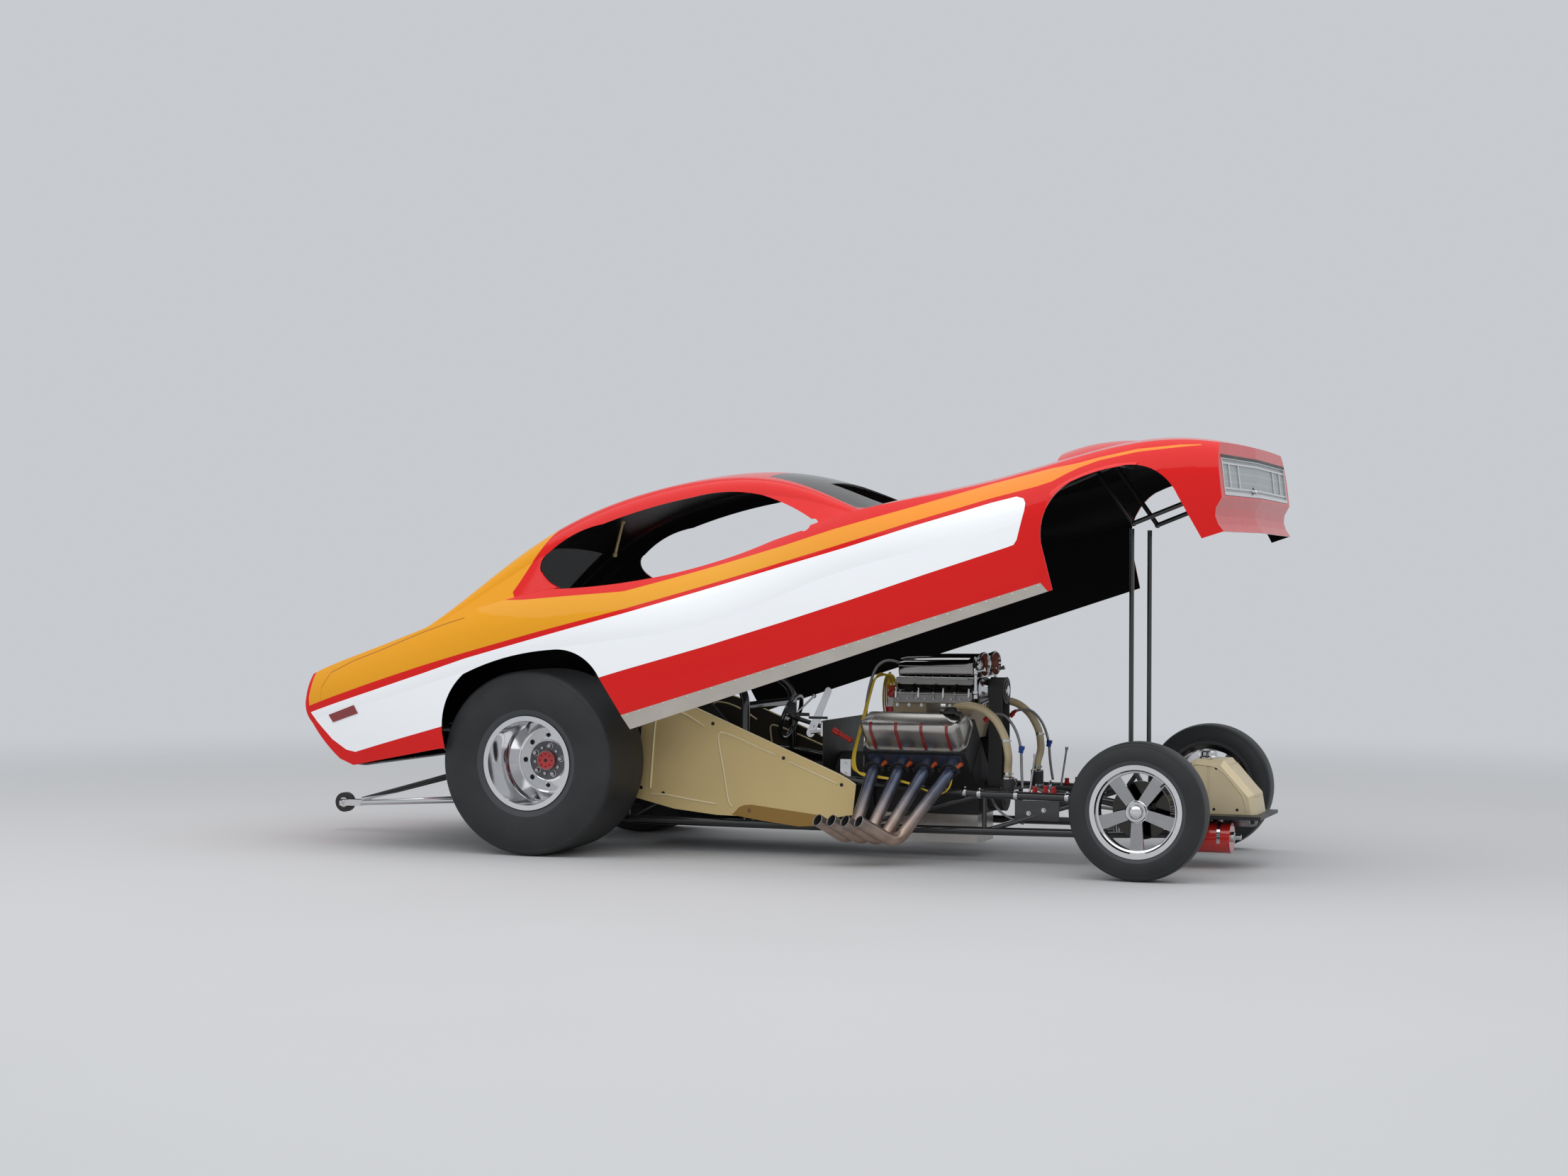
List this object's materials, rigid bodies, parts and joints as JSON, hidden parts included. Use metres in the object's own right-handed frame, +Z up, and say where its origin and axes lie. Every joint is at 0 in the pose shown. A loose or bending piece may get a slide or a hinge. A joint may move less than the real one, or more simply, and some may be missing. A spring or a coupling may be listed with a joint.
{
  "type": "drag racing car",
  "caption": "Drag racing car with a one-piece tilting body held up at the front on prop rods over a tube frame with a supercharged vee engine.",
  "frame": {"origin": "on the ground under the middle of the car's length and width", "axes": "+X towards the nose, +Y to the left, +Z up"},
  "size_m": [4.831, 1.8556, 1.961],
  "materials": {
    "red_fibreglass": "gloss painted fibreglass, striped",
    "window_sheet": "clear polycarbonate",
    "riveted_aluminium": "brushed sheet, riveted",
    "gold_aluminium": "gold anodised sheet",
    "lamp_panel": "frosted lamp panel in a bright frame",
    "grey_sheet": "satin grey",
    "black_tube": "gloss black",
    "black_sheet": "satin black",
    "steel": "machined steel",
    "polished_aluminium": "polished",
    "cast_aluminium": "cast, satin",
    "cast_engine": "cast",
    "chrome": "bright",
    "tyre_rubber": "smooth tread",
    "header_steel": "heat-blued",
    "seat_black": "black cover on aluminium",
    "red_paint": "gloss red",
    "hose_tan": "translucent hose",
    "magneto_cap": "red cap"
  },
  "bodies": {
    "chassis": {"frame_rails": "black_tube", "roll_cage": "black_tube", "cockpit_panels": "gold_aluminium", "floor_and_firewall": "gold_aluminium", "driver_seat": "seat_black", "steering_yoke": "black_tube", "engine_block": "cast_engine", "oil_pan": "polished_aluminium", "cylinder_heads": "cast_aluminium", "valve_covers": "polished_aluminium", "intake_manifold": "cast_aluminium", "blower_case": "polished_aluminium", "injector_hat": "polished_aluminium", "blower_drive": "black_sheet", "magneto": "magneto_cap", "exhaust_headers": "header_steel", "breather_hoses": "hose_tan", "catch_cans": "black_sheet", "clutch_and_gearbox": "cast_aluminium", "rear_axle_housing": "black_sheet", "front_axle": "black_tube", "fuel_tank": "gold_aluminium", "front_tray": "black_sheet", "fire_bottle": "red_paint", "wheelie_bar": "chrome", "tow_eyes": "steel"},
    "tilt_body": {"body_shell": "red_fibreglass", "window_panes": "window_sheet", "rocker_strips": "riveted_aluminium", "front_grille": "lamp_panel", "rear_bumper": "grey_sheet", "body_tubing": "black_tube"},
    "right_prop": {"prop_rod_right": "black_tube"},
    "left_prop": {"prop_rod_left": "black_tube"},
    "rear_wheels": {"rear_axle_shaft": "steel", "rear_rims": "polished_aluminium", "rear_tyres": "tyre_rubber"},
    "right_knuckle": {"knuckle_right": "steel"},
    "left_knuckle": {"knuckle_left": "steel"},
    "steering_link": {"tie_rod": "steel"},
    "right_front_wheel": {"front_rim_right": "polished_aluminium", "front_tyre_right": "tyre_rubber"},
    "left_front_wheel": {"front_rim_left": "polished_aluminium", "front_tyre_left": "tyre_rubber"},
    "trailing_wheel": {"wheelie_wheel": "tyre_rubber"}
  },
  "joints": [
    {"name": "body_tilt", "type": "hinge", "parent": "chassis", "child": "tilt_body", "pos_m": [-1.7745, 0, 0.56], "axis": [0, 1, 0], "range_deg": [0, 18.14]},
    {"name": "right_prop_fold", "type": "hinge", "parent": "chassis", "child": "right_prop", "pos_m": [1.8285, -0.25, 0.5], "axis": [-1, 0, 0], "range_deg": [0, 83]},
    {"name": "left_prop_fold", "type": "hinge", "parent": "chassis", "child": "left_prop", "pos_m": [1.7985, 0.25, 0.5], "axis": [1, 0, 0], "range_deg": [0, 83]},
    {"name": "rear_axle_spin", "type": "hinge", "parent": "chassis", "child": "rear_wheels", "pos_m": [-0.9245, 0, 0.438], "axis": [0, 1, 0], "continuous": true},
    {"name": "steer_right", "type": "hinge", "parent": "chassis", "child": "right_knuckle", "pos_m": [1.9875, -0.65, 0.305], "axis": [0, 0, 1], "range_deg": [-20, 20]},
    {"name": "steer_left", "type": "hinge", "parent": "chassis", "child": "left_knuckle", "pos_m": [1.9875, 0.65, 0.305], "axis": [0, 0, 1], "range_deg": [-20, 20]},
    {"name": "tie_rod_swing", "type": "hinge", "parent": "right_knuckle", "child": "steering_link", "pos_m": [1.8575, -0.65, 0.213], "axis": [0, 0, 1], "range_deg": [-20, 20]},
    {"name": "right_front_spin", "type": "hinge", "parent": "right_knuckle", "child": "right_front_wheel", "pos_m": [1.9875, -0.78, 0.305], "axis": [0, 1, 0], "continuous": true},
    {"name": "left_front_spin", "type": "hinge", "parent": "left_knuckle", "child": "left_front_wheel", "pos_m": [1.9875, 0.78, 0.305], "axis": [0, 1, 0], "continuous": true},
    {"name": "wheelie_wheel_spin", "type": "hinge", "parent": "chassis", "child": "trailing_wheel", "pos_m": [-2.3655, 0, 0.144], "axis": [0, 1, 0], "continuous": true}
  ],
  "couplings": [
    {"joint": "right_prop_fold", "follows": "body_tilt", "ratio": 4.5763},
    {"joint": "left_prop_fold", "follows": "body_tilt", "ratio": 4.5763},
    {"joint": "steer_left", "follows": "steer_right", "ratio": 1},
    {"joint": "tie_rod_swing", "follows": "steer_right", "ratio": -1}
  ]
}
